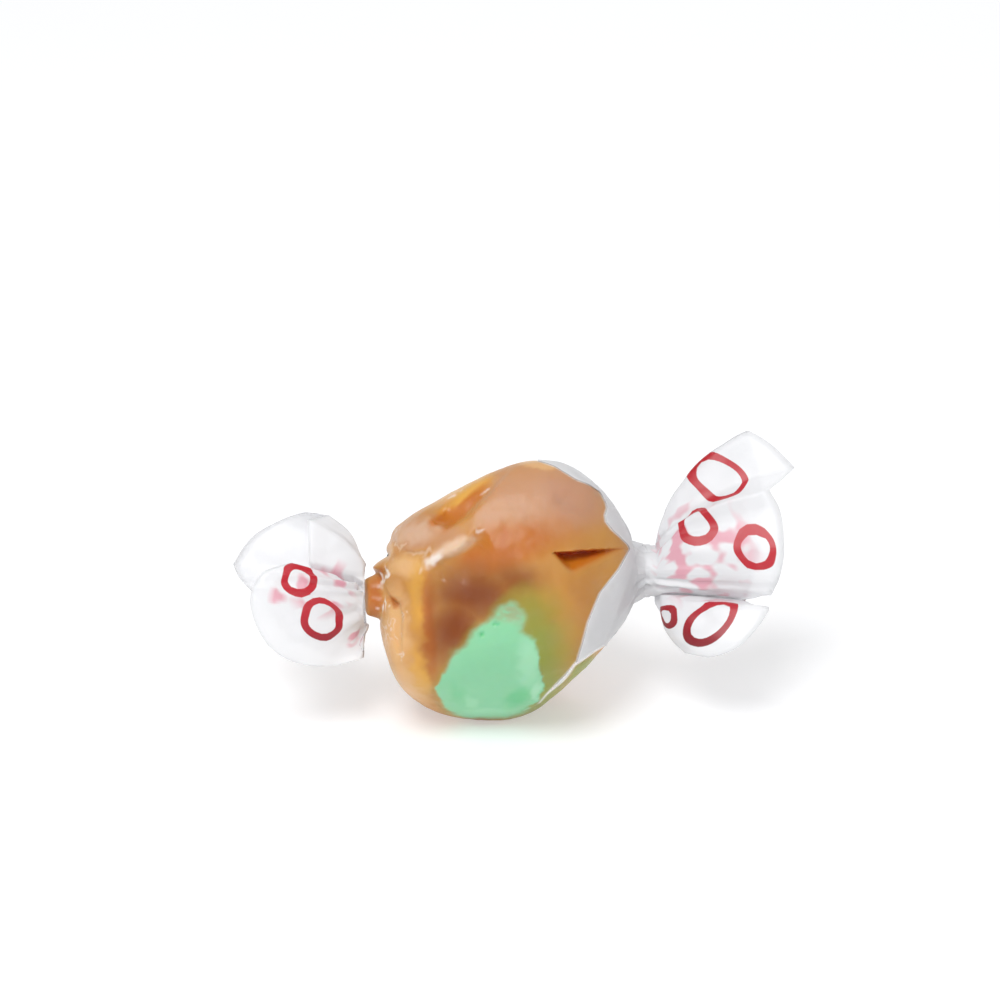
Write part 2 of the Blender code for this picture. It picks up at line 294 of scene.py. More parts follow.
def slot(x, up):
    """Share of the three-cornered slot's depth at a place, and millimetres below its upper edge."""
    (ax, aup), (bx, bup), (cx, cup) = SLOT
    area = (bup - cup) * (ax - cx) + (cx - bx) * (aup - cup)
    first = ((bup - cup) * (x - cx) + (cx - bx) * (up - cup)) / area
    second = ((cup - aup) * (x - cx) + (ax - cx) * (up - cup)) / area
    below, aside = second * SLOT_HEIGHTS[0], (1 - first - second) * SLOT_HEIGHTS[1]
    if first <= 0 or below <= 0 or aside <= 0:
        return 0.0, below
    return smooth(0.0, SLOT_FLOOR, first) * smooth(0.0, SLOT_WALL, min(below, aside)), below


def hollow(x, up, middle, size, depth):
    """Depth of a smooth round hollow."""
    reach = ((x - middle[0]) / size[0]) ** 2 + ((up - middle[1]) / size[1]) ** 2
    return depth * max(0.0, 1 - reach) ** 2


def line_at(rows, up):
    """x of a line given as (up, x) rows, lowest first."""
    if up <= rows[0][0]:
        return rows[0][1]
    for (low, x0), (high, x1) in zip(rows, rows[1:]):
        if up < high:
            return x0 + (x1 - x0) * (up - low) / (high - low)
    return rows[-1][1]


NEAR_FOLD, NEAR_POWER = 0.05, 6  # how the stretches near a place set the fold's width there
NARROW_DEPTH = 1.6  # a fold is full depth down to its widest width over this
SIDES = 1.2  # millimetres of depth each way over which the front's folds give way to the back's
# Folds on the display side, pressed straight in: path of (x, up, width), depth, and its sharp side's width
FRONT_FOLDS = (
    (
        (
            (0.0, 12.1, 0.8), (-1.1, 11.0, 2.0), (-2.0, 9.9, 2.8), (-2.9, 9.1, 3.2), (-4.0, 7.8, 3.6),
            (-5.2, 6.9, 3.4), (-6.1, 6.5, 2.6), (-7.2, 6.8, 1.6), (-8.0, 7.7, 0.4),
        ), 1.15, 0.45,
    ),  # groove along the upper left
    (
        (
            (-11.6, 5.1, 0.5), (-11.0, 4.4, 0.9), (-10.3, 3.9, 0.9), (-9.5, 3.7, 0.9), (-8.6, 3.7, 0.6),
            (-7.8, 4.0, 0.0),
        ), 0.3, 0.3,
    ),  # lower edge of the left shoulder
    (
        ((-6.6, -10.0, 0.0), (-6.9, -6.0, 1.8), (-7.0, -2.5, 3.0), (-6.8, 0.5, 2.6), (-6.2, 2.6, 0.0)),
        0.8, 2.2,
    ),  # soft edge between the left flank and the front
    (
        (
            (-7.6, 1.8, 0.5), (-6.8, 2.4, 2.4), (-6.0, 2.9, 3.4), (-5.2, 3.2, 4.2), (-4.3, 3.8, 4.2),
            (-3.5, 4.5, 3.2), (-2.9, 5.1, 1.8), (-2.3, 5.8, 0.0),
        ), 0.8, 1.1,
    ),  # under the ledge
    (((9.6, 7.3, 0.6), (8.1, 8.0, 1.8), (6.3, 8.6, 2.4), (4.4, 9.4, 0.0)), 0.35, 1.2),  # upper right
    (
        (
            (-13.1, 2.0, 0.2), (-12.6, 0.2, 0.9), (-11.8, -0.9, 1.1), (-11.0, -1.5, 1.4), (-10.7, -2.6, 1.2),
            (-10.8, -5.0, 0.9), (-10.9, -7.5, 0.0),
        ), 0.7, 0.25,
    ),  # fold down the left edge
    (((-12.0, 3.0, 0.0), (-12.6, 1.2, 0.4), (-12.5, 0.2, 0.0)), 0.3, 0.2),
    (((3.3, -7.6, 0.0), (3.7, -9.6, 0.7), (2.1, -11.6, 0.9), (0.6, -12.6, 0.3)), 0.3, 0.3),  # by the mint
)
# Hollows: middle, half width and half height, depth
FRONT_HOLLOWS = (
    ((-3.0, -0.8), (5.6, 5.6), 1.1), ((-11.4, -1.2), (0.9, 0.7), 0.4), ((-1.2, -3.4), (0.4, 0.4), 0.2),
    ((-2.7, -4.5), (0.4, 0.4), 0.2), ((0.6, -2.6), (1.6, 1.0), 0.2),
)
# The slot's corners: its upper left, its lower and its right one
SLOT = ((4.3, 3.8), (6.4, 1.2), (13.2, 4.5))
SLOT_HEIGHTS = (3.2, 2.9)  # of the triangle, over its upper and over its left edge
SLOT_WALL = 0.3
SLOT_FLOOR = 0.7  # share of the way from its lower right edge to its upper left corner where it is full depth
SLOT_DEPTH = 1.6
BACK_FOLDS = (
    (((-10.0, 5.0, 0.0), (-1.0, 7.0, 3.0), (5.5, 8.2, 0.0)), 1.5, 0.9),
    (((-3.0, -1.6, 0.0), (2.8, 0.1, 2.4), (11.5, 2.6, 0.0)), 1.5, 0.8),
    (((4.0, -8.4, 0.0), (-2.5, -5.6, 2.4), (-9.0, -3.0, 0.0)), 1.2, 0.9),
)
BACK_HOLLOW = ((-5.0, -1.0), (5.0, 4.0), 0.9)
# A fold in the paper alone, between the lump and the right twist
PAPER_FOLD = (
    ((9.3, -6.4, 0.3), (10.4, -4.0, 1.4), (11.7, -1.0, 2.0), (12.4, 1.5, 2.0), (13.2, 4.2, 1.0)), 0.35, 0.3,
)
PAPER_FOLD_FROM = 6  # x
PAPER_FOLD_LOOSE = (0.2, 1.2)
# A little point that the paper pulls out of the left edge, and dents over it: x, up, reach, height
TIPS = ((-13.0, 2.2, 1.3, 0.6), (-12.9, 3.7, 1.6, -1.0), (-12.7, 5.3, 2.0, -0.8))


def folds(x, up, deep):
    """How far, in millimetres, folds have pressed the taffy away from the viewer; below 0 towards."""
    front = 1 - smooth(-SIDES, SIDES, deep)
    pressed = 0.0
    if front > 0:
        pressed += sum(crease(x, up, *row) for row in FRONT_FOLDS) + SLOT_DEPTH * slot(x, up)[0]
        pressed += sum(hollow(x, up, *row) for row in FRONT_HOLLOWS)
        pressed *= front
    if front < 1:
        raised = sum(crease(x, up, *row) for row in BACK_FOLDS) + hollow(x, up, *BACK_HOLLOW)
        pressed -= (1 - front) * raised
    return pressed


# The film line, where the paper leaves the taffy on the right of the display side, and the line where it
# meets it again low down, both as (up, x)
LEAVES = (
    (-12.3, 1.0), (-12.0, 1.7), (-11.5, 3.0), (-10.5, 3.8), (-9.4, 4.8), (-8.4, 5.8), (-7.1, 6.9),
    (-5.5, 7.4), (-3.2, 8.0), (-0.3, 9.2), (2.0, 11.0), (4.1, 12.2), (4.5, 12.0), (5.3, 11.2), (6.0, 10.4),
    (6.8, 9.8), (7.5, 9.7), (8.2, 9.9), (8.7, 9.8), (9.9, 9.2), (10.5, 8.2), (11.0, 6.9), (12.3, 4.8),
    (12.9, 3.0),
)
MEETS = (
    (-12.3, 1.0), (-11.3, 3.1), (-10.5, 3.8), (-10.0, 4.4), (-9.2, 5.4), (-8.4, 6.1), (-7.6, 6.6),
    (-7.0, 7.5), (-6.2, 8.6), (-5.6, 9.6), (-5.2, 14.0),
)
BEHIND_RIGHT = 10.4  # x where it leaves the taffy on the far side


def tilted(x, up, row):
    """Distance of a place from the middle of a turned ellipse, where 1 is its edge."""
    turn = math.radians(row[4])
    across, along = x - row[0], up - row[1]
    return math.hypot(
        (across * math.cos(turn) + along * math.sin(turn)) / row[2],
        (along * math.cos(turn) - across * math.sin(turn)) / row[3],
    )


def stands_off(x, up, deep):
    """Millimetres by which a place is past the film line; below 0 the paper clings to the taffy."""
    behind = smooth(*FAR_SIDE, deep)
    place = Vector((x, up, deep))
    ragged = sum(height * noise.noise(place * waves) for height, waves in RAGGED)
    right = x - (1 - behind) * line_at(LEAVES, up) - behind * BEHIND_RIGHT + ragged * behind
    if behind < 0.5:
        right = min(right, line_at(MEETS, up) - x)
    # over the top it lies all but flat, as a faint veil
    inside_veil = min(deep + VEIL_FRONT, up - VEIL_FOOT, VEIL_SLANT[0] * x + VEIL_SLANT[1])
    over = min(VEIL_EDGE * (inside_veil + 2 * ragged), VEIL_MOST)
    off = max(right, over)
    # on the far side it lies close, and the taffy shows faintly through it
    close = min(off, FAR_MILK * smooth(0.0, FAR_FADE, off) + MILKY[0] + ALL_OFF * smooth(*FAR_CONE, x))
    return off + (close - off) * behind


def lump_point(direction):
    """Offsets from the centre of the paper's outer face and of the taffy along a direction, and how far past
    the film line that is."""
    away = soft_block(direction, PAPER_FLATS)
    x, up, deep = to_display(direction * away)
    aside = math.hypot(up - LEFT_NECK[1], deep - LEFT_NECK[2])
    x, up = seen(x, up, deep)
    off = stands_off(x, up, deep)
    bridging = smooth(*BRIDGING, off)
    pressed = from_display(0, 0, folds(x, up, deep)) * MM
    waves = sum(height * noise.noise(direction * bumps) for height, bumps in WAVES) * MM
    tip = sum(
        height * MM * max(0.0, 1 - math.hypot(x - tip_x, up - tip_up) / reach) ** 2
        for tip_x, tip_up, reach, height in TIPS
    )
    drop = DROP * smooth(*DROPPING, off)
    if x < 0:
        dent, stub = (height * (1 - smooth(*radii, aside)) for height, *radii in (STUB_DENT, STUB))
        drop += (dent - stub) * MM
    paper = direction * (away + waves + tip) + pressed * (1 - bridging)
    taffy = direction * (away + waves + tip - CLING - drop) + pressed
    return paper, taffy, off


def around_axis(tilt, turn):
    """A unit direction at an angle from +X, turned about it from the top over the near side."""
    side = math.sin(tilt)
    return Vector((math.cos(tilt), -side * math.sin(turn), side * math.cos(turn)))


def lump_direction(plain):
    """A unit direction from the centre, drawn towards the off-centre twists as it nears the ends."""
    neck = RIGHT_NECK if plain.x > 0 else LEFT_NECK
    offset = from_display(0, neck[1], neck[2]) / abs(neck[0])
    return (plain + offset * plain.x**2).normalized()


def column_share(column, around=AROUND):
    """How far round a column stands, from the top over the near side, as a share of a turn.
    The columns start under the far side, where the sheet's long edges meet."""
    even = column / around
    return even - SEAM + DENSER / (2 * math.pi) * -math.sin(2 * math.pi * (even - DENSEST))


SHARES = [column_share(column) for column in range(AROUND)]
TURNS = [2 * math.pi * share for share in SHARES]


def smooth_loop(controls):
    """Many points along a closed curve through the controls, with creases at the corners."""
    spots = [CENTRE + from_display(*row[:3]) * MM for row in controls]
    creased = [bool(row[3]) for row in controls]
    number = len(spots)
    curve = []
    for i in range(number):
        here, there = spots[i], spots[(i + 1) % number]
        leave = there - here if creased[i] else (there - spots[i - 1]) / 2
        arrive = there - here if creased[(i + 1) % number] else (spots[(i + 2) % number] - here) / 2
        for step in range(CURVE_STEPS):
            t = step / CURVE_STEPS
            start = here * (2 * t**3 - 3 * t**2 + 1) + leave * (t**3 - 2 * t**2 + t)
            curve.append(start + there * (3 * t**2 - 2 * t**3) + arrive * (t**3 - t**2))
    return curve


def spread(curve, middle, turned):
    """A point of the closed curve for each column, shared out by length and by angle about the twist."""
    lengths, turns = [0.0], [0.0]
    offset = curve[0] - middle
    last = math.atan2(-offset.y, offset.z)
    total = 0.0
    for spot, following in zip(curve, curve[1:] + curve[:1]):
        lengths.append(lengths[-1] + (following - spot).length)
        offset = following - middle
        angle = math.atan2(-offset.y, offset.z)
        total += (angle - last + math.pi) % (2 * math.pi) - math.pi
        last = angle
        turns.append(max(turns[-1], total))
    marks = [
        (1 - TURN_SHARE) * length / lengths[-1] + TURN_SHARE * turn / turns[-1]
        for length, turn in zip(lengths, turns)
    ]
    loop = []
    for share in SHARES:
        wanted = (share + turned) % 1.0
        low, high = 0, len(marks) - 1
        while high - low > 1:
            middle_mark = (low + high) // 2
            low, high = (middle_mark, high) if marks[middle_mark] <= wanted else (low, middle_mark)
        along = (wanted - marks[low]) / max(1e-9, marks[high] - marks[low])
        loop.append(curve[low].lerp(curve[high % len(curve)], along))
    return loop


def gathers(share, seed):
    """Height in millimetres of the paper's sharp little gathers round a twist."""
    height = 0.0
    wander = sum(
        far * math.sin(2 * math.pi * (times * share + way * seed)) for far, times, way in GATHER_WANDER
    )
    for number, depth in GATHERS:
        place = number * share + wander + seed
        height += depth * (1 - 4 * abs(place % 1.0 - 0.5))
    return height


def neck_rings(neck, length, side):
    """Rings of the twist, from the lump outwards, turning as they go."""
    middle = CENTRE + from_display(*neck) * MM
    rings = []
    for step in range(NECK_RINGS):
        share = step / (NECK_RINGS - 1) - 0.5
        centre = middle + Vector((side * length * share, 0, 0))
        turned = 2 * math.pi * NECK_TURN * (share + 0.5) * side
        rings.append([centre + around_axis(math.pi / 2, turn + turned) * NECK_RADIUS for turn in TURNS])
    return rings


def tail_rings(neck, edge, first, side):
    """Rings of a tail: each line leaves the twist outwards and bends along to the cut edge."""
    middle = CENTRE + from_display(*neck) * MM
    loop = spread(smooth_loop(edge), middle, side * NECK_TURN)
    rings = []
    for step in range(1, TAIL_RINGS + 1):
        t = step / TAIL_RINGS
        ring = []
        for start, end in zip(first, loop):
            reach = end - middle
            along = Vector((reach.x, 0, 0))
            bend = middle + (along * FLARE_ALONG + (reach - along) * FLARE_OUT) / 2
            ring.append(start * (1 - t) ** 2 + bend * (2 * t * (1 - t)) + end * t**2)
        rings.append(ring)
    return rings


def cone_rings(lump_ring, neck_ring):
    """Rings of the straight paper between the lump and a twist, ends left out."""
    shares = [step / (CONE_RINGS + 1) for step in range(1, CONE_RINGS + 1)]
    return [[a.lerp(b, share) for a, b in zip(lump_ring, neck_ring)] for share in shares]


def hex_colour(code):
    """Linear red, green, blue and 1 from an sRGB hex code."""
    parts = [int(code[i : i + 2], 16) / 255 for i in (0, 2, 4)]
    return (*[c / 12.92 if c <= 0.04045 else ((c + 0.055) / 1.055) ** 2.4 for c in parts], 1.0)


def add(tree, kind, output, settings=None, **inputs):
    """One output of a new node, with its settings, and its inputs set to values or linked from other outputs.
    An input is named with _ for a space, or as i and its number."""
    node = tree.nodes.new(kind)
    for name, value in (settings or {}).items():
        setattr(node, name, value)
    for name, value in inputs.items():
        key = int(name[1:]) if name[0] == "i" and name[1:].isdigit() else name.replace("_", " ")
        if isinstance(value, bpy.types.NodeSocket):
            tree.links.new(value, node.inputs[key])
        else:
            node.inputs[key].default_value = value
    return node.outputs[output]


# Settings that several nodes share
EASED = {"interpolation_type": "SMOOTHSTEP"}
COLOURS = {"data_type": "RGBA"}
# Pulled sugar, which light enters deeply and leaves warmer, under the gloss of the paper on it
PULLED_SUGAR = {
    "Roughness": 0.42, "IOR": 1.46, "Specular IOR Level": 0.25, "Coat Weight": 0.15, "Coat Roughness": 0.2,
    "Subsurface Weight": 0.35, "Subsurface Radius": (1.0, 0.5, 0.25), "Subsurface Scale": 1.2 * MM,
}
# Waxed paper, which lets much of the light through
WAXED_PAPER = {
    "Roughness": 0.38, "IOR": 1.45, "Subsurface Weight": 0.4, "Subsurface Radius": (1.0, 1.0, 1.0),
    "Subsurface Scale": 0.3 * MM,
}
# A lit card: its own faint light takes it to the white of a studio sweep
WHITE_CARD = {
    "Base Color": hex_colour("D5D6D8"), "Roughness": 0.9, "Emission Color": hex_colour("FFFFFF"),
    "Emission Strength": 0.40,
}


def new_material(name, finish):
    """A material, its nodes and its shader, with the finish set on the shader's own sockets."""
    made = bpy.data.materials.new(name)
    made.use_nodes = True
    shader = made.node_tree.nodes["Principled BSDF"]
    for socket, value in finish.items():
        shader.inputs[socket].default_value = value
    return made, made.node_tree, shader


def taffy_material(name):
    """Soft, translucent sugar taffy under clinging waxed paper, which gives it a wet-looking gloss."""
    made, tree, shader = new_material(name, PULLED_SUGAR)
    place = add(tree, "ShaderNodeTexCoord", "Object")
    # long-drawn streaks some 4 mm wide, from pulling and folding the sugar
    streaks = add(tree, "ShaderNodeTexNoise", "Fac", Vector=place, Scale=260.0, Detail=3.0, Roughness=0.5)
    browner = add(tree, "ShaderNodeMapRange", "Result", EASED, Value=streaks, From_Min=0.3, From_Max=0.7)
    colour = add(
        tree, "ShaderNodeMix", 2, COLOURS, i0=browner, i6=hex_colour("C68E46"), i7=hex_colour("BC823E")
    )
    for tone, code in TONES:
        share = add(tree, "ShaderNodeAttribute", "Fac", {"attribute_name": tone})
        colour = add(tree, "ShaderNodeMix", 2, COLOURS, i0=share, i6=colour, i7=hex_colour(code))
    tree.links.new(colour, shader.inputs["Base Color"])
    # the paper over it is creased a little more finely than a millimetre
    creases = add(tree, "ShaderNodeTexNoise", "Fac", Vector=place, Scale=1400.0, Detail=4.0, Roughness=0.55)
    bumps = add(tree, "ShaderNodeBump", "Normal", Height=creases, Strength=0.25, Distance=0.08 * MM)
    tree.links.new(bumps, shader.inputs["Normal"])
    return made


# Colours of the taffy and painted light and shade, each laid over the last by its own attribute
TONES = (
    ("milky", "C2906B"),
    ("rosy", "BC8E78"),
    ("honey", "DDAF78"),
    ("gold", "DCA548"),
    ("amber", "BA6818"),
    ("orange", "B86424"),
    ("dark", "84441C"),
    ("olive", "90953C"),
    ("cream", "E2C6AC"),
    ("frost", "F2EDE8"),
    ("ember", "BE6C0C"),
    ("pit", "A83400"),
    ("mint", "8ACEA1"),
    ("deep_mint", "68C488"),
    ("pale_mint", "A6DEB8"),
    ("swirl", "9CAE84"),
)
# Where they lie on the display side: x, up, half width, half height, turn in degrees, strength
PATCH_EDGE = 0.75  # of a patch's size, where it is at half strength
PATCH_SOFT, DARK_SOFT = 1.2, 1.4  # of its size, where it ends
PATCHES = {
    # milky paper lifting a little off the taffy, with painted sheen of the light from above over the top
    "milky": (
        (2.4, 9.2, 7.6, 4.2, -10, 1.0), (-1.2, 7.8, 3.2, 2.0, 40, 0.9), (-9.0, 5.6, 3.4, 2.2, 8, 1.0),
        (-6.0, 5.2, 2.4, 1.2, 22, 0.8),
    ),
    "rosy": ((6.6, 9.4, 4.6, 3.2, -35, 0.6),),
    "honey": (
        (-10.0, 2.4, 2.4, 1.4, 0, 1.0), (-11.2, -4.0, 1.8, 5.6, 3, 0.9), (-10.2, -9.4, 2.0, 3.6, 28, 0.9),
        (-4.4, 10.8, 4.6, 0.9, 38, 1.0), (-12.2, 4.2, 1.0, 1.6, 0, 0.7), (3.4, 12.6, 4.6, 0.5, -8, 0.8),
    ),
    "gold": (
        (-8.9, -0.6, 1.1, 4.4, 0, 0.9), (-3.8, 9.6, 3.6, 1.1, 42, 0.9), (-8.8, -8.0, 1.0, 3.2, 15, 0.8),
        (-5.6, 7.8, 1.6, 1.0, 35, 0.8),
    ),
    "amber": (
        (-4.4, 8.2, 3.6, 0.7, 45, 1.0), (-6.6, 7.0, 1.6, 0.7, 10, 0.7), (0.6, 4.8, 5.0, 2.4, 0, 0.9),
        (-3.2, 3.8, 2.2, 1.0, 35, 0.8), (-11.4, -1.2, 0.9, 0.6, -30, 0.9), (-12.8, 1.2, 0.4, 1.2, 0, 0.8),
    ),
    "orange": (
        (-7.8, -3.8, 0.9, 6.4, 4, 0.8), (4.6, 6.0, 4.0, 1.8, -10, 0.3), (-1.6, 2.8, 4.0, 1.6, 8, 0.7),
        (-0.4, 5.4, 0.3, 1.3, 0, 0.6), (-13.4, -0.8, 1.0, 2.8, 0, 0.8),
    ),
    # darker caramel, with painted shade in the big hollow on the front and in the pocket by the left tip
    "dark": (
        (-3.4, -0.4, 5.4, 3.2, 0, 1.0), (-5.4, -3.8, 3.0, 4.4, -25, 1.0), (0.6, 1.0, 3.4, 2.0, 0, 0.8),
        (-12.6, 1.9, 0.8, 0.5, 20, 0.4),
    ),
    # painted sheen: light caught on the ledge under the left shoulder and in thin streaks down the left flank
    "cream": (
        (-5.4, 4.3, 2.6, 0.9, 22, 0.8), (-9.2, 5.7, 2.8, 1.3, 8, 0.4), (-8.6, 3.8, 1.6, 0.3, 0, 0.5),
        (-11.0, 4.6, 0.9, 0.2, -40, 0.7), (-10.7, -2.7, 0.15, 0.6, 5, 0.9), (-11.6, -3.4, 0.2, 0.9, 5, 0.7),
        (-11.0, -4.6, 0.12, 0.5, 10, 0.8), (-12.2, -4.2, 0.25, 1.3, 25, 0.8), (-10.9, -6.5, 0.2, 0.2, 0, 0.8),
    ),
    # painted highlights: white glints of light on the paper over the taffy, on the ledge, along the groove's
    # top and down the left edge
    "frost": (
        (-7.4, 3.0, 1.4, 0.6, 42, 0.75), (-2.8, 6.0, 0.3, 0.3, 40, 0.5),
        (-12.3, 1.4, 0.3, 1.3, -8, 0.8), (-12.3, -1.4, 0.3, 0.8, 5, 0.8), (-2.2, 9.9, 0.5, 0.12, 40, 0.7),
        (-5.3, 9.5, 0.7, 0.15, 35, 0.5), (-11.2, 6.0, 0.25, 0.25, 0, 0.5), (-10.6, -6.6, 0.15, 0.5, 5, 0.5),
    ),
    "ember": ((-4.2, 8.4, 3.4, 0.7, 45, 1.0), (-5.9, 7.5, 1.8, 0.8, 25, 0.9)),
    "olive": ((7.4, -8.2, 2.8, 1.4, 48, 1.0),),
    # deeper mint, and painted shade in the two small dimples
    "deep_mint": (
        (1.0, -10.8, 1.6, 1.0, 20, 0.9), (-5.0, -10.4, 0.9, 1.6, 20, 0.4), (-1.2, -3.4, 0.3, 0.25, 0, 1.0),
        (-2.7, -4.5, 0.3, 0.3, 0, 1.0),
    ),
    "pale_mint": (
        (2.0, -7.0, 1.4, 3.0, 0, 0.7), (-2.6, -12.3, 4.6, 0.5, 3, 0.7), (2.8, -10.2, 0.6, 1.2, 0, 0.8),
        (-3.6, -11.2, 0.7, 0.9, 30, 0.5),
    ),
    "swirl": ((0.4, -2.2, 1.8, 1.4, 0, 1.0), (1.4, -3.4, 0.8, 0.9, 0, 0.7)),
}
# The mint's outline on the display side
MINT_OUTLINE = (
    (-7.0, -9.4), (-6.0, -7.0), (-4.2, -4.9), (-2.7, -3.2), (-1.0, -1.8), (0.6, -1.0), (1.5, -1.8),
    (1.9, -2.7), (1.5, -4.0), (2.8, -4.9), (3.0, -6.0), (3.2, -7.9), (3.5, -9.5), (3.3, -10.8), (1.9, -11.8),
    (-0.8, -12.9), (-2.9, -13.6), (-4.9, -13.4), (-6.6, -11.4), (-7.3, -10.1),
)
CORE_TRIES = 3  # rounds in which a point's depth and its arch are brought together

# How the colours' edges wander and tear: millimetres, and waves over a metre
WANDER = ((0.30, 700), (0.15, 2200))
TORN_WAVES = 1300
TORN_FROM = Vector((5.3, 1.9, 0.4))
TORN_TONES = ("cream", "frost")
STRAY = 1.5  # how much further other tones wander
STRAY_UP = 0.6
# The far side, which the display side's tones give way to: milky and dark drifts
TONE_SIDES = (-3.0, 1.0)
DRIFT_WAVES = 190
DRIFT_FROM = Vector((3.1, 0.7, 9.2))
MILKY_DRIFT, DARK_DRIFT = (0.0, 0.5), (0.1, 0.6)
DARK_SHARE = 0.6
# Olive where caramel and mint have run into each other, most on the core's right
OLIVE_SIDE = (-0.1, 0.9)
OLIVE_FROM, OLIVE_TO, OLIVE_MORE = 0.2, 0.6, 5.0
OLIVE_LEAST = 0.25
# The slot: painted glow over its walls, and painted shade just below its upper edge that fades to the right
EMBER_EDGE = (0.0, 0.3)
PIT_EDGE, PIT_FOOT, PIT_RIGHT = (0.1, 0.5), (0.3, 1.5), (7.5, 10.5)
PIT_FADE = 0.6
# The mint's edge: softest over its top, where it has been pulled into the caramel
EDGE_LEAST, EDGE_TOP, EDGE_FAR = 0.16, 0.5, 0.6
EDGE_SIDE = (-0.2, 0.6)
EDGE_TURN = 0.2
EDGE_INSIDE = 0.4
SWIRL_WAVES, SWIRL_SLANT, SWIRL_SHIFT = 1.5, 1.6, 0.3
# Painted light on the taffy under paper that stands off, against the shade it casts; less so on the far side
LIT = (-0.25, 0.05)
LIT_LOSS = 0.8


def patch(tone, x, up):
    """Strength of a tone at a place on the display side."""
    softest = DARK_SOFT if tone == "dark" else PATCH_SOFT
    inner = 2 * PATCH_EDGE - softest
    return max(row[5] * (1 - smooth(inner, softest, tilted(x, up, row))) for row in PATCHES[tone])


def outside_mint(x, up):
    """Millimetres from a place to the mint's outline, below 0 inside it."""
    nearest, inside = 1e9, False
    for start, end in zip(MINT_OUTLINE, MINT_OUTLINE[1:] + MINT_OUTLINE[:1]):
        nearest = min(nearest, nearest_on(x, up, start, end)[1])
        if (start[1] > up) != (end[1] > up):
            crossed = start[0] + (end[0] - start[0]) * (up - start[1]) / (end[1] - start[1])
            inside = inside != (x < crossed)
    return -nearest if inside else nearest


def core_radius(turn):
    """Radius in millimetres of the core's section: a smooth curve through CORE_RADII."""
    place = turn % (2 * math.pi) / (2 * math.pi) * len(CORE_RADII)
    first = int(place)
    share = (1 - math.cos(math.pi * (place - first))) / 2
    low, high = CORE_RADII[first % len(CORE_RADII)], CORE_RADII[(first + 1) % len(CORE_RADII)]
    return low + (high - low) * share


def outside_core(point):
    """Millimetres from a point to the core's side, below 0 within it, and the angle about the core."""
    offset = point - CENTRE
    deep = to_display(offset)[2] * MM
    for _ in range(CORE_TRIES):
        lowered = offset - Vector((0, 0, CORE_RISE * max(0.0, deep) ** 2))
        deep = to_display(lowered)[2] * MM
    x, up, _ = to_display(lowered)
    turn = math.atan2(up - CORE_CENTRE[1], x - CORE_CENTRE[0])
    taper = 1 - CORE_TAPER * max(0.0, deep) / CORE_REACH
    return math.hypot(x - CORE_CENTRE[0], up - CORE_CENTRE[1]) - core_radius(turn) * taper, turn


def tones_at(point):
    """Strength of each of TONES at a point of the taffy."""
    x, up, deep = to_display(point - CENTRE)
    x, up = seen(x, up, deep)
    wander = sum(far * noise.noise(point * waves) for far, waves in WANDER)
    torn = noise.noise(point * TORN_WAVES + TORN_FROM)
    outside, turn = outside_core(point)
    front = 1 - smooth(*TONE_SIDES, deep)
    if front > 0:
        outside += (outside_mint(x, up) - outside) * front
    found = {}
    for tone in PATCHES:
        stray = torn if tone in TORN_TONES else STRAY * wander
        found[tone] = patch(tone, x + stray, up + STRAY_UP * stray) * front
    drift = noise.noise(point * DRIFT_WAVES + DRIFT_FROM)
    found["milky"] = max(found["milky"], (1 - front) * smooth(*MILKY_DRIFT, drift))
    found["dark"] = max(found["dark"], (1 - front) * DARK_SHARE * smooth(*DARK_DRIFT, -drift))
    eastward = smooth(*OLIVE_SIDE, math.cos(turn))
    run = 1 - smooth(OLIVE_FROM, OLIVE_TO + OLIVE_MORE * eastward, outside + wander)
    found["olive"] = max(found["olive"], run * (OLIVE_LEAST + (1 - OLIVE_LEAST) * eastward))
    if front > 0:
        share, below = slot(x, up)
        # painted glow over the slot's walls
        found["ember"] = max(found["ember"], smooth(*EMBER_EDGE, share))
        # painted shade just below the slot's upper edge
        foot = smooth(*PIT_EDGE, share) * (1 - smooth(*PIT_FOOT, below))
        found["pit"] = foot * (1 - PIT_FADE * smooth(*PIT_RIGHT, x))
    softness = EDGE_LEAST + EDGE_TOP * smooth(*EDGE_SIDE, math.sin(turn - EDGE_TURN)) + EDGE_FAR * (1 - front)
    found["mint"] = 1 - smooth(-softness, softness * EDGE_INSIDE, outside + wander)
    for tone in ("deep_mint", "pale_mint"):
        found[tone] *= found["mint"]
    streak = noise.noise(Vector((x, up * SWIRL_SLANT, 0.0)) * SWIRL_WAVES) + SWIRL_SHIFT
    found["swirl"] *= found["mint"] * smooth(-SWIRL_SHIFT, SWIRL_SHIFT, streak)
    # painted light on the taffy under the paper where it stands off
    lit = smooth(*LIT, stands_off(x, up, deep)) * (1 - LIT_LOSS * smooth(*FAR_SIDE, deep))
    found["frost"] = max(found["frost"], lit)
    return found


def paint(mesh):
    """Gives the mesh one attribute for each tone."""
    rows = [tones_at(vert.co) for vert in mesh.vertices]
    for tone, _ in TONES:
        layer = mesh.attributes.new(tone, "FLOAT", "POINT")
        layer.data.foreach_set("value", [row.get(tone, 0.0) for row in rows])


def as_object(name, bm):
    mesh = bpy.data.meshes.new(name)
    bm.to_mesh(mesh)
    bm.free()
    mesh.shade_smooth()
    made = bpy.data.objects.new(name, mesh)
    bpy.context.scene.collection.objects.link(made)
    return made


def make_lump(name):
    """The whole taffy, before its core is parted from it."""
    bm = bmesh.new()
    bmesh.ops.create_uvsphere(bm, u_segments=TAFFY_AROUND, v_segments=TAFFY_STEPS, radius=1)
    for vert in bm.verts:
        top, near, end = vert.co
        tilt = math.acos(max(-1.0, min(1.0, end)))
        column = round(math.atan2(near, top) / (2 * math.pi) * TAFFY_AROUND) % TAFFY_AROUND
        direction = lump_direction(around_axis(tilt, 2 * math.pi * column_share(column, TAFFY_AROUND)))
        vert.co = CENTRE + lump_point(direction)[1]
        vert.co.z = max(vert.co.z, CLING)
    return as_object(name, bm)


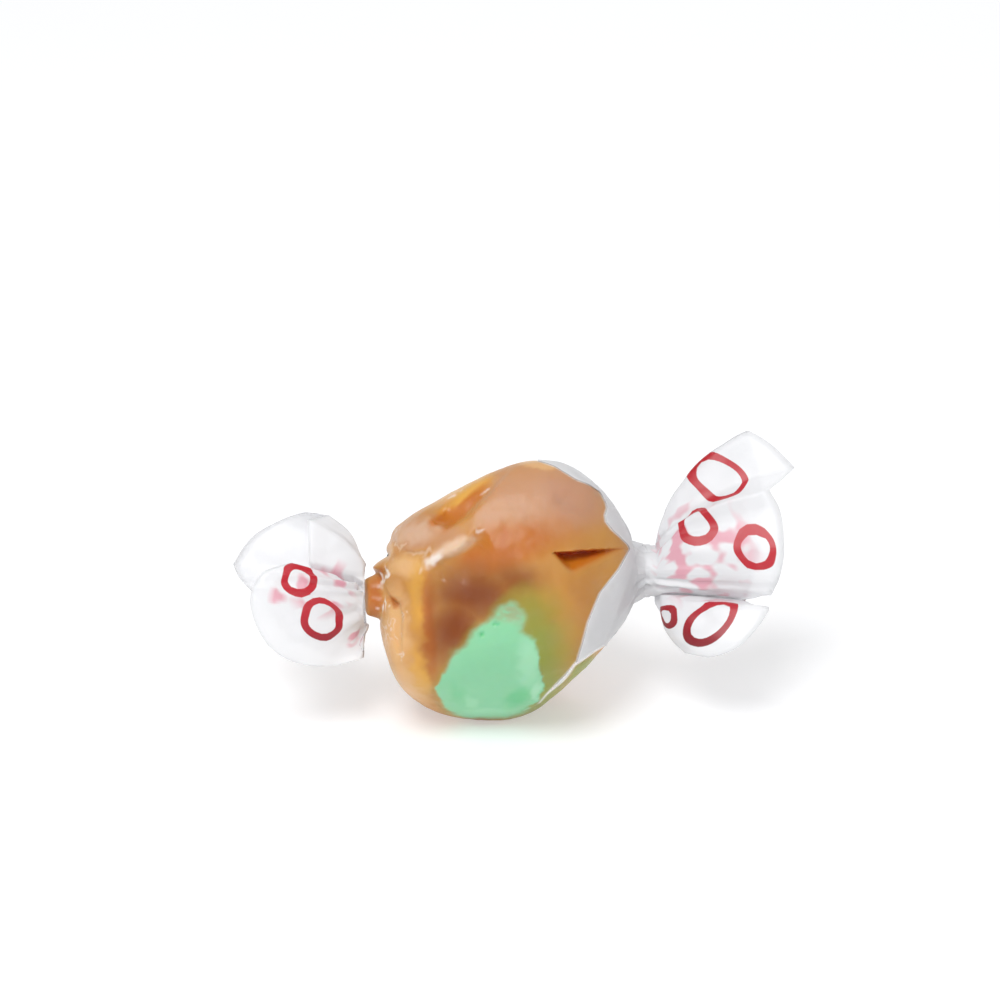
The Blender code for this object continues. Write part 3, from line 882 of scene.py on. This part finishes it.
def make_core(name):
    """A rod of the core's section from front to back, arching up behind the middle."""
    bm = bmesh.new()
    bmesh.ops.create_uvsphere(bm, u_segments=CORE_SEGMENTS, v_segments=CORE_STEPS, radius=1)
    for vert in bm.verts:
        deep = -CORE_REACH * vert.co.z
        turn = math.atan2(vert.co.y, vert.co.x)
        radius = 0.0
        if abs(deep) < CORE_CAP * CORE_REACH:
            radius = core_radius(turn) * (1 - CORE_TAPER * max(0.0, deep) / CORE_REACH)
        across, up = CORE_CENTRE[0] + math.cos(turn) * radius, CORE_CENTRE[1] + math.sin(turn) * radius
        vert.co = CENTRE + from_display(across, up, deep / MM) * MM
        vert.co.z += CORE_RISE * max(0.0, deep) ** 2
    return as_object(name, bm)


def part_from(piece, core, operation):
    """Parts the lump from its core, and leaves a crisp edge between skin and cut."""
    cut = piece.modifiers.new("core", "BOOLEAN")
    cut.operation = operation
    cut.object = core
    cut.solver = "EXACT"
    graph = bpy.context.evaluated_depsgraph_get()
    mesh = bpy.data.meshes.new_from_object(piece.evaluated_get(graph))
    piece.modifiers.clear()
    piece.data = mesh
    mesh.set_sharp_from_angle(angle=SHARP_ANGLE)


def off_ring(round_sheet, along, rings):
    """Millimetres from a place on the sheet to the nearest printed ring's line, below 0 inside the ring.
    The rings are a little uneven."""
    place = Vector((round_sheet, along, 0.0)) * RING_WAVE
    round_sheet += RING_WOBBLE[0] * noise.noise(place)
    along += RING_WOBBLE[1] * noise.noise(place + RING_SHIFT)
    return min((tilted(round_sheet, along, (*row, 0.0)) - 1) * row[3] for row in rings)


def lump_ring(step):
    """A ring of the paper over the lump, and how far past the film line each of its points is."""
    tilt = math.pi * step / LUMP_STEPS
    ring, gaps = [], []
    for turn in TURNS:
        direction = lump_direction(around_axis(tilt, turn))
        paper, _, off = lump_point(direction)
        point = CENTRE + paper
        point.z = max(point.z, 0.0)
        ring.append(point)
        gaps.append(off)
    return ring, gaps


def wrapper_rings():
    """The rings from the left tail's cut edge to the right one's, and how far past the film line each point
    of them is."""
    steps = range(LUMP_STEPS - OPEN_STEPS, OPEN_STEPS - 1, -1)
    lump, gaps = (list(rows) for rows in zip(*[lump_ring(step) for step in steps]))
    left_neck = neck_rings(LEFT_NECK, LEFT_NECK_LENGTH, -1)
    right_neck = neck_rings(RIGHT_NECK, RIGHT_NECK_LENGTH, 1)
    left_tail = tail_rings(LEFT_NECK, LEFT_EDGE, left_neck[-1], -1)
    right_tail = tail_rings(RIGHT_NECK, RIGHT_EDGE, right_neck[-1], 1)
    left_end = left_tail[::-1] + left_neck[::-1] + cone_rings(lump[0], left_neck[0])[::-1]
    right_end = cone_rings(lump[-1], right_neck[0]) + right_neck + right_tail
    left_gaps = [[ALL_OFF] * AROUND] * (len(left_tail) - CLEAR_TAIL_RINGS)
    closing = CLEAR_TAIL_RINGS + NECK_RINGS + CONE_RINGS
    for step in range(closing, 0, -1):
        # the taffy shows right up to the left twist
        left_gaps.append([LEFT_CLEARING * step / closing - LEFT_CLEAR] * AROUND)
    return left_end + lump + right_end, left_gaps + gaps + [[ALL_OFF] * AROUND] * len(right_end)


def ruffle(bm, tail, off):
    """Raises the gathers round the twists and the loose paper's crumples, and keeps it on the floor."""
    for vert in bm.verts:
        offset = vert.co - CENTRE
        neck, seed = (RIGHT_NECK, RIGHT_SEED) if offset.x > 0 else (LEFT_NECK, LEFT_SEED)
        spot = offset - from_display(*neck) * MM
        share = math.atan2(-spot.y, spot.z) / (2 * math.pi)
        beyond = vert[tail]
        if beyond > 0:
            gathered = smooth(*TAIL_START, beyond) * (1 - TAIL_LOSS * smooth(*GATHERED_TAIL, beyond))
        else:
            gathered = 1 - smooth(*GATHERED_LUMP, -beyond)
        height = gathered * gathers(share, seed)
        crumple = smooth(*CRUMPLED_TAIL, beyond) + LUMP_CRUMPLE * smooth(*CRUMPLED_LUMP, -beyond)
        crumple *= CRUMPLE_DEPTH
        if crumple > 0:
            distances, _ = noise.voronoi(offset / (CRUMPLE_SIZE * MM))
            height += crumple * (2 * (distances[1] - distances[0]) - CRUMPLE_MIDDLE)
        vert.co += vert.normal * height * MM * smooth(*LOOSE, vert[off])
        vert.co.z = max(vert.co.z, 0.0)


def make_wrapper():
    """The waxed paper: a sheet rolled until its long edges meet, on the lump and fanned at both ends."""
    rings, gaps = wrapper_rings()
    last, half = len(rings) - 1, len(rings) // 2
    # length along the paper, in millimetres, from the left cut edge to each ring
    lengths = []
    for column in range(AROUND):
        run = [0.0]
        for before, after in zip(rings, rings[1:]):
            run.append(run[-1] + (after[column] - before[column]).length / MM)
        lengths.append(run)
    middles = [sum(to_display(spot - CENTRE)[2] for spot in ring) / AROUND for ring in rings]
    left_twist = TAIL_RINGS + NECK_RINGS // 2
    right_twist = last - left_twist

    def grid_place(vert):
        """Column and row in the grid, and millimetres from the twist, below 0 on the lump's side."""
        column, row = round((vert.co.x + 0.5) * AROUND), round((vert.co.y + 0.5) * last)
        run = lengths[column % AROUND]
        return column, row, run[left_twist] - run[row] if row < half else run[row] - run[right_twist]

    bm = bmesh.new()
    bmesh.ops.create_grid(bm, x_segments=AROUND, y_segments=last, size=0.5)
    sheet = bm.loops.layers.uv.new("sheet")
    floats = bm.verts.layers.float
    off, tail, ring = floats.new("stand_off"), floats.new("tail"), floats.new("ring")
    ghost, fold = floats.new("ghost"), floats.new("fold")
    for face in bm.faces:
        for loop in face.loops:
            column, _, beyond = grid_place(loop.vert)
            loop[sheet].uv = (SHEET_ROUND * column_share(column), beyond)
    for vert in bm.verts:
        column, row, beyond = grid_place(vert)
        column %= AROUND
        vert[tail] = beyond
        vert[off] = gaps[row][column]
        vert[ring] = NO_RING
        vert.co = rings[row][column]
        x, up, deep = to_display(vert.co - CENTRE)
        near = deep < middles[row]
        x, up = seen(x, up, deep)
        if vert[tail] < 0 and near and x > PAPER_FOLD_FROM:
            folded = crease(x, up, *PAPER_FOLD) * smooth(*PAPER_FOLD_LOOSE, vert[off])
            vert.co += from_display(0, 0, folded) * MM
            # the share of the fold's depth, by which the paper is painted greyer as shade along it
            vert[fold] = folded / PAPER_FOLD[1]
        if vert[tail] > 0:
            rows = LEFT_PRINT if row < half else RIGHT_PRINT
            vert[ring] = off_ring(SHEET_ROUND * SHARES[column], vert[tail], rows)
            if near:
                vert[ghost] = max(1 - smooth(*GHOST_EDGE, tilted(x, up, place)) for place in GHOSTS)
    bmesh.ops.remove_doubles(bm, verts=bm.verts, dist=JOIN)
    bm.normal_update()
    ruffle(bm, tail, off)
    wrapper = as_object("waxed_paper_wrapper", bm)
    wall = wrapper.modifiers.new("paper", "SOLIDIFY")
    wall.thickness = PAPER
    wall.offset = -1
    wall.material_offset = 1
    wall.material_offset_rim = 0
    return wrapper


# The print: rings as place round the sheet, place along it from the twist, half width, half height
RIGHT_PRINT = (
    (-0.6, 10.8, 2.4, 2.1), (3.4, 6.4, 2.2, 1.5), (7.4, 11.4, 2.1, 1.7), (21.8, 5.0, 1.3, 1.4),
    (20.6, 9.4, 1.5, 1.8), (30.5, 9.0, 2.0, 1.8), (-8.5, 9.5, 2.2, 1.9),
)
LEFT_PRINT = ((14.8, 8.0, 2.1, 1.5), (20.2, 5.4, 2.6, 1.9), (-8.0, 8.0, 2.2, 1.8))
# Where the print of the layers behind shows through, blurred: x, up, half width, half height, turn
GHOSTS = (
    (19.8, 3.8, 5.8, 6.2, 0), (-18.6, 0.2, 3.6, 3.2, 0), (-14.9, -5.0, 1.4, 1.2, 0),
    (-23.2, -0.6, 0.9, 0.9, 0),
)


def paper_material(name, outer):
    """Waxed paper: nearly clear where it clings to the taffy, milky where it stands off, and printed on the
    tails' outer face."""
    made, tree, shader = new_material(name, WAXED_PAPER)
    sheet = add(tree, "ShaderNodeUVMap", "UV", {"uv_map": "sheet"})
    place = add(tree, "ShaderNodeTexCoord", "Object")
    stand_off, ring, ghost, fold = (
        add(tree, "ShaderNodeAttribute", "Fac", {"attribute_name": layer})
        for layer in ("stand_off", "ring", "ghost", "fold")
    )
    ink = 0.0
    if outer:
        line = add(tree, "ShaderNodeMath", 0, {"operation": "ABSOLUTE"}, i0=ring)
        ink = add(
            tree, "ShaderNodeMapRange", "Result", EASED, Value=line, From_Min=RING_STROKE[0],
            From_Max=RING_STROKE[1],
        )

    # it lets light through: hardly seen where it clings, but for clouds some 2.5 mm wide, and white beyond
    clouds = add(tree, "ShaderNodeTexNoise", "Fac", Vector=place, Scale=420.0, Detail=3.0)
    veil = add(
        tree, "ShaderNodeMapRange", "Result", Value=clouds, From_Min=0.35, From_Max=0.75, To_Min=0.0,
        To_Max=0.03 if outer else 0.0,
    )
    milky = add(
        tree, "ShaderNodeMapRange", "Result", EASED, Value=stand_off, From_Min=MILKY[0], From_Max=MILKY[1]
    )
    film = add(tree, "ShaderNodeMix", 0, i0=milky, i2=veil, i3=0.78 if outer else 0.4)
    solid = add(tree, "ShaderNodeMix", 0, i0=ink, i2=film, i3=0.95)
    tree.links.new(solid, shader.inputs["Alpha"])

    # white, with painted shade along its fold, pink blotches some 2.5 mm wide and red ink with painted shade
    # low down
    colour = add(tree, "ShaderNodeMix", 2, COLOURS, i0=fold, i6=hex_colour("EEEFF2"), i7=hex_colour("E4E5E8"))
    blotches = add(
        tree, "ShaderNodeTexNoise", "Fac", {"noise_dimensions": "2D"}, Vector=sheet, Scale=0.42, Detail=1.0
    )
    patches = add(tree, "ShaderNodeMapRange", "Result", EASED, Value=blotches, From_Min=0.48, From_Max=0.66)
    blurred = add(tree, "ShaderNodeMath", 0, {"operation": "MULTIPLY"}, i0=patches, i1=ghost)
    colour = add(tree, "ShaderNodeMix", 2, COLOURS, i0=blurred, i6=colour, i7=hex_colour("E79FAE"))
    # painted shade on the red ink, darker low down
    height = add(tree, "ShaderNodeSeparateXYZ", "Z", Vector=place)
    high = add(
        tree, "ShaderNodeMapRange", "Result", EASED, Value=height, From_Min=8.0 * MM, From_Max=14.0 * MM
    )
    red = add(tree, "ShaderNodeMix", 2, COLOURS, i0=high, i6=hex_colour("6A000C"), i7=hex_colour("B00616"))
    colour = add(tree, "ShaderNodeMix", 2, COLOURS, i0=ink, i6=colour, i7=red)
    tree.links.new(colour, shader.inputs["Base Color"])

    # creased about every millimetre
    creases = add(tree, "ShaderNodeTexNoise", "Fac", Vector=place, Scale=900.0, Detail=5.0, Roughness=0.6)
    bumps = add(tree, "ShaderNodeBump", "Normal", Height=creases, Strength=0.3, Distance=0.1 * MM)
    tree.links.new(bumps, shader.inputs["Normal"])
    return made


# The studio, in metres
FLOOR_SIZE = 3.0
FLOOR_DROP = 0.02 * MM  # keeps the card clear of the paper that lies on it
AIM = (0, 0, 0.01)
LIGHT_SIZE = 0.3
FRONT_LIGHT, FRONT_POWER = (-0.12, -0.30, 0.50), 2.2
BACK_LIGHT, BACK_POWER = (0.10, 0.50, 0.45), 0.5
AMBIENT = 0.52
LENS = 136.8  # millimetres
NEAREST_SEEN = 0.01


def make_floor():
    bm = bmesh.new()
    bmesh.ops.create_grid(bm, x_segments=1, y_segments=1, size=FLOOR_SIZE)
    bmesh.ops.translate(bm, verts=bm.verts, vec=(0, 0, -FLOOR_DROP))
    floor = as_object("floor", bm)
    floor.data.materials.append(new_material("matt white card", WHITE_CARD)[0])


def area_light(name, place, power):
    """A broad soft disk of light over the sweet."""
    light = bpy.data.lights.new(name, "AREA")
    light.shape = "DISK"
    light.size = LIGHT_SIZE
    light.energy = power
    made = bpy.data.objects.new(name, light)
    made.location = place
    made.rotation_mode = "QUATERNION"
    made.rotation_quaternion = (Vector(AIM) - Vector(place)).to_track_quat("-Z", "Y")
    bpy.context.scene.collection.objects.link(made)
    return made


def studio():
    """White card, a soft light over the front left, a weaker one over the back, and the camera on the display
    side."""
    make_floor()
    world = bpy.data.worlds.new("studio")
    bpy.context.scene.world = world
    world.use_nodes = True
    world.node_tree.nodes["Background"].inputs["Color"].default_value = (1.0, 1.0, 1.0, 1.0)
    world.node_tree.nodes["Background"].inputs["Strength"].default_value = AMBIENT
    area_light("overhead", FRONT_LIGHT, FRONT_POWER)
    area_light("behind", BACK_LIGHT, BACK_POWER).visible_glossy = False
    bpy.context.scene.view_settings.view_transform = "Standard"
    eye = bpy.data.cameras.new("camera")
    eye.lens = LENS
    eye.clip_start = NEAREST_SEEN
    camera = bpy.data.objects.new("camera", eye)
    bpy.context.scene.collection.objects.link(camera)
    right, up, ahead = from_display(1, 0, 0), from_display(0, 1, 0), from_display(0, 0, 1)
    place = CENTRE + (right * EYE_PLACE[0] + up * EYE_PLACE[1] - ahead * EYE_DISTANCE) * MM
    turned = Matrix((right, up, -ahead)).transposed().to_4x4()
    camera.matrix_world = Matrix.Translation(place) @ turned
    bpy.context.scene.camera = camera


def main():
    core = make_core("core")
    lump = make_lump("caramel_lump")
    middle = lump.copy()
    middle.name = "mint_core"
    bpy.context.scene.collection.objects.link(middle)
    parted = ((lump, "caramel_taffy", "DIFFERENCE"), (middle, "mint_taffy", "INTERSECT"))
    for piece, node, operation in parted:
        part_from(piece, core, operation)
        paint(piece.data)
        piece.data.materials.clear()
        piece.data.materials.append(taffy_material(piece.name.replace("_", " ") + ", pulled sugar taffy"))
        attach(piece, "root")
        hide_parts(node)
    bpy.data.objects.remove(core)

    wrapper = make_wrapper()
    wrapper.data.materials.append(paper_material("waxed paper, outer face", True))
    wrapper.data.materials.append(paper_material("waxed paper, inner face", False))
    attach(wrapper, "root")
    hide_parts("wrapper")
    studio()


main()
